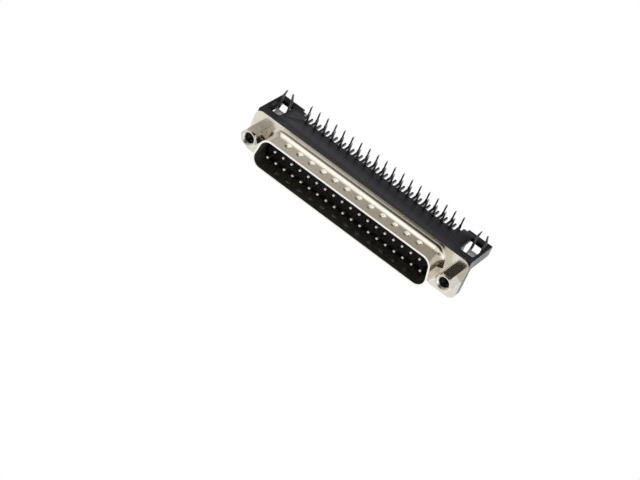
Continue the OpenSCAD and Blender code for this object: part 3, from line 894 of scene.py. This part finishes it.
def wire_ring(centre_x, y, z, lean, squareness, half_w, half_t):
    """A ring across the wire; lean 0 is square to the pin and a quarter turn is square to the tail."""
    points = []
    for x, t in section(squareness, half_w, half_t):
        points.append(Vector((centre_x + x, y + t * math.sin(lean), z + t * math.cos(lean))))
    return points


def model_contact(node):
    """Rings along the wire: pin, collar, bend and tail, ending in a swaged point."""
    low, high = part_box(node)
    x, z = (low.x + high.x) / 2, high.z - COLLAR_R
    tip_y, tail_y, tail_z = low.y, high.y - WIRE_T / 2, low.z
    rings = []
    for angle in NOSE_ANGLES:
        turn = math.radians(angle)
        radius = PIN_R * (0.3 + 0.7 * math.sin(turn) ** 0.8) if angle else PIN_R * 0.2
        rings.append(wire_ring(x, tip_y + NOSE_L * (1 - math.cos(turn)), z, 0, 0, radius, radius))
    collar_y = insulator_high.y - COLLAR_L
    for y, radius in ((collar_y, PIN_R), (collar_y, COLLAR_R), (insulator_high.y, COLLAR_R)):
        rings.append(wire_ring(x, y, z, 0, 0, radius, radius))
    rings.append(wire_ring(x, insulator_high.y, z, 0, 1, WIRE_W / 2, WIRE_T / 2))
    bend_y, bend_z = tail_y - BEND_R, z - BEND_R
    for angle in range(0, 91, 10):
        lean = math.radians(angle)
        rings.append(wire_ring(x, bend_y + BEND_R * math.sin(lean), bend_z + BEND_R * math.cos(lean),
                               lean, 1, WIRE_W / 2, WIRE_T / 2))
    for ring_z, width, thick in TAIL_STEP:
        rings.append(wire_ring(x, tail_y, ring_z, QUARTER, 1, width / 2, thick / 2))
    for above, squareness, half_w, half_t in TAIL_POINT:
        rings.append(wire_ring(x, tail_y, tail_z + above, QUARTER, squareness, half_w, half_t))
    contact = ring_body(node + "_formed", rings)
    shade(contact, 40)
    return contact


# ---------------------------------------------------------------- stage: camera, lamps, floor, world

TENT_R = 0.62
TENT_WHITE = (0.97, 0.97, 0.97, 1)
TENT_GREY = (0.35, 0.33, 0.29, 1)
TENT_DARK = (0.035, 0.03, 0.025, 1)
TENT_DUSK = (0.17, 0.16, 0.15, 1)
TENT_HEM = (0.12, 0.11, 0.1, 1)
# Degrees about the long axis, from the front through below to the back, with the tent's colour there
TENT_BAND = ((-180, TENT_WHITE), (-177, TENT_WHITE), (-166, TENT_DUSK), (-150, TENT_DARK),
             (-100, TENT_DARK), (-93, TENT_HEM), (-84, TENT_WHITE), (-56, TENT_WHITE),
             (-48, TENT_GREY), (-28, TENT_GREY), (-10, TENT_WHITE))

CAMERA_TARGET = Vector((1.13, -16.76, 15.86)) * MM
CAMERA_DISTANCE = 484.8 * MM
CAMERA_AZIMUTH = math.radians(-20.7)
CAMERA_ELEVATION = math.radians(-37.0)
CAMERA_ROLL = math.radians(-155.87)
CAMERA_LENS = 107.71

LAMP_CENTRE = Vector((0, -4 * MM, AXIS_Z))
LAMP_DISTANCE = 0.5
WARM_LIGHT = (1.0, 0.985, 0.96)
COOL_LIGHT = (0.97, 0.985, 1.0)

FLOOR_R = 0.6
FLOOR_GAP = 0.02 * MM
FLOOR_PAPER = (0.93, 0.93, 0.93, 1), (0.9, 0.9, 0.9, 1)
ROOM_FILL = (0.97, 0.97, 1.0, 1)


def make_camera():
    """The camera looks up at the connector from below its front and is rolled nearly upside down."""
    back = Vector((math.sin(CAMERA_AZIMUTH) * math.cos(CAMERA_ELEVATION),
                   -math.cos(CAMERA_AZIMUTH) * math.cos(CAMERA_ELEVATION),
                   math.sin(CAMERA_ELEVATION)))
    camera = bpy.data.objects.new("camera", bpy.data.cameras.new("camera"))
    bpy.context.scene.collection.objects.link(camera)
    camera.data.lens = CAMERA_LENS
    camera.data.sensor_width = 36
    camera.data.clip_start, camera.data.clip_end = 0.01, 20
    camera.rotation_mode = "QUATERNION"
    camera.location = CAMERA_TARGET + back * CAMERA_DISTANCE
    camera.rotation_quaternion = (-back).to_track_quat("-Z", "Y") @ Quaternion((0, 0, 1), CAMERA_ROLL)
    bpy.context.scene.camera = camera


def add_lamp(name, direction, size, power, color):
    """A round lamp that faces the connector from the given direction."""
    lamp = bpy.data.objects.new(name, bpy.data.lights.new(name, "AREA"))
    bpy.context.scene.collection.objects.link(lamp)
    lamp.data.shape = "DISK"
    lamp.data.size = size
    lamp.data.energy = power
    lamp.data.color = color
    away = Vector(direction).normalized()
    lamp.location = LAMP_CENTRE + away * LAMP_DISTANCE
    lamp.rotation_mode = "QUATERNION"
    lamp.rotation_quaternion = away.to_track_quat("Z", "Y")


def make_lamps():
    """Soft lamps all round, each so wide that its reflection doesn't clip the plating."""
    add_lamp("key_below", (0.34, 0.456, -0.823), size=0.32, power=0.12, color=WARM_LIGHT)
    add_lamp("side_below", (-0.9, -0.1, -0.35), size=0.4, power=0.25, color=COOL_LIGHT)
    add_lamp("key_above", (-0.3, -0.2, 0.93), size=0.95, power=0.6, color=WARM_LIGHT)
    add_lamp("back_above", (-0.28, 0.747, 0.6), size=0.4, power=0.6, color=COOL_LIGHT)


def make_world():
    """White where the camera and reflections see it, with a softer fill for everything else."""
    world = bpy.data.worlds.new("studio")
    bpy.context.scene.world = world
    world.use_nodes = True
    tree = world.node_tree
    tree.nodes.clear()
    path = add(tree, "ShaderNodeLightPath")
    seen = largest(tree, path.outputs["Is Camera Ray"], path.outputs["Is Glossy Ray"])
    seen = largest(tree, seen, path.outputs["Is Transmission Ray"])
    fill = add(tree, "ShaderNodeBackground", {"Color": ROOM_FILL, "Strength": 0.6})
    white = add(tree, "ShaderNodeBackground", {"Color": (1, 1, 1, 1), "Strength": 1.0})
    mix = add(tree, "ShaderNodeMixShader", {0: seen, 1: fill.outputs[0], 2: white.outputs[0]})
    add(tree, "ShaderNodeOutputWorld", {"Surface": mix.outputs[0]})


def make_floor():
    """A pale floor under the tails that shows from above and lets light and views from below pass."""
    select_nothing()
    bpy.ops.mesh.primitive_circle_add(vertices=96, radius=FLOOR_R, fill_type="NGON",
                                      location=(0, 0, cad_low.z - FLOOR_GAP))
    floor = bpy.context.object
    floor.name = "floor"
    bpy.ops.object.transform_apply(location=True, rotation=True, scale=True)
    material, tree = new_material("pale_floor")
    path = add(tree, "ShaderNodeLightPath")
    front = calculate(tree, "SUBTRACT", 1.0, add(tree, "ShaderNodeNewGeometry").outputs["Backfacing"])
    seen = product(tree, path.outputs["Is Camera Ray"], front)
    place = place_of(tree)
    reach = add(tree, "ShaderNodeVectorMath", {0: place}, operation="LENGTH").outputs["Value"]
    seen = product(tree, seen, ramp(tree, reach, 0.12, 0.4, 1.0, 0.0))
    color = blend_colors(tree, ramp(tree, noise(tree, place, 900.0), 0.3, 0.7), *FLOOR_PAPER)
    surface = add(tree, "ShaderNodeBsdfPrincipled", {"Base Color": color, "Roughness": 0.8})
    clear = add(tree, "ShaderNodeBsdfTransparent")
    show(tree, add(tree, "ShaderNodeMixShader", {0: seen, 1: clear.outputs[0], 2: surface.outputs[0]}))
    floor.data.materials.append(material)


def make_tent():
    """A studio tent that only reflections see: white, grey low at the back, dark at the front."""
    select_nothing()
    centre = Vector((0, -8 * MM, AXIS_Z))
    bpy.ops.mesh.primitive_uv_sphere_add(segments=64, ring_count=32, radius=TENT_R, location=centre)
    tent = bpy.context.object
    tent.name = "studio_tent"
    bpy.ops.object.transform_apply(location=True, rotation=True, scale=True)
    bpy.ops.object.shade_smooth()
    material, tree = new_material("studio_tent")
    offset = add(tree, "ShaderNodeVectorMath", {0: place_of(tree), 1: centre}, operation="SUBTRACT")
    reach = add(tree, "ShaderNodeSeparateXYZ", {"Vector": offset.outputs[0]})
    turn = calculate(tree, "ARCTAN2", reach.outputs["Z"], reach.outputs["Y"])
    band = add(tree, "ShaderNodeValToRGB", {"Fac": ramp(tree, turn, -math.pi, math.pi)})
    stops = band.color_ramp.elements
    while len(stops) > 1:
        stops.remove(stops[-1])
    for number, (degrees, color) in enumerate(TENT_BAND):
        stop = stops[0] if number == 0 else stops.new((degrees + 180) / 360)
        stop.position = (degrees + 180) / 360
        stop.color = color
    far_right = ramp(tree, reach.outputs["X"], 0.2 * TENT_R, 0.37 * TENT_R)
    lift = largest(tree, ramp(tree, turn, math.radians(-100), math.radians(-160)), 0.2)
    lift = product(tree, lift, far_right)
    left_front = product(tree, ramp(tree, reach.outputs["X"], -0.3 * TENT_R, -0.5 * TENT_R),
                         ramp(tree, turn, math.radians(-132), math.radians(-146)))
    ends = ramp(tree, unsigned(tree, reach.outputs["X"]), 0.85 * TENT_R, 0.96 * TENT_R)
    lift = largest(tree, lift, largest(tree, left_front, ends))
    color = blend_colors(tree, lift, band.outputs["Color"], TENT_WHITE)
    show(tree, add(tree, "ShaderNodeEmission", {"Color": color, "Strength": 1.0}))
    tent.data.materials.append(material)
    tent.visible_camera = tent.visible_diffuse = tent.visible_shadow = False


# ---------------------------------------------------------------- putting it together

bpy.context.scene.view_settings.view_transform = "Standard"
make_camera()
make_lamps()
make_world()
make_floor()
make_tent()

nickel = shell_plating()
turned = screw_plating()
tinned = lock_plating()
black_housing = black_moulding("black_housing", *HOUSING_BLACK, grain_scale=4200.0,
                               low_rough=0.34, high_rough=0.5, bump=0.8)
black_insulator = black_moulding("black_insulator", *INSULATOR_BLACK, grain_scale=6000.0,
                                 low_rough=0.4, high_rough=0.5, bump=0.2)
plating = contact_plating()

dress(model_shell(), nickel, "nickel_shell", "front_shell")

insulator = cad_copy("front_insulator", "insulator_moulding")
shade(insulator)
steady_flats(insulator)
dress(insulator, black_insulator, "black_plastic", "front_insulator")

housing = cad_copy("rear_housing", "housing_moulding")
soften_edges(housing, MOULDED_EDGE)
shade(housing)
steady_flats(housing)
dress(housing, black_housing, "black_plastic", "rear_housing")

across = Vector((-2 * SCREW_X, 0, 0))
screw = model_jackscrew()
nut = model_lock_nut()
screw_left = copied_to(screw, "jackscrew_left_turned", across)
nut_left = copied_to(nut, "lock_nut_left_turned", across)
dress(screw, turned, "jackscrew_metal", "jackscrew_right")
dress(screw_left, turned, "jackscrew_metal", "jackscrew_left")
dress(nut, turned, "jackscrew_metal", "lock_nut_right")
dress(nut_left, turned, "jackscrew_metal", "lock_nut_left")

for side in ("left", "right"):
    lock = model_board_lock(side)
    dress(lock, tinned, "lock_metal", "board_lock_" + side)

for first, last in ((1, LONG_ROW), (LONG_ROW + 1, CONTACT_COUNT)):
    pattern = model_contact("contact_%02d" % first)
    for number in range(first, last + 1):
        node = "contact_%02d" % number
        contact = pattern
        if number > first:
            contact = copied_to(pattern, node + "_formed", Vector(((number - first) * PIN_PITCH, 0, 0)))
        dress(contact, plating, "contact_metal", node)
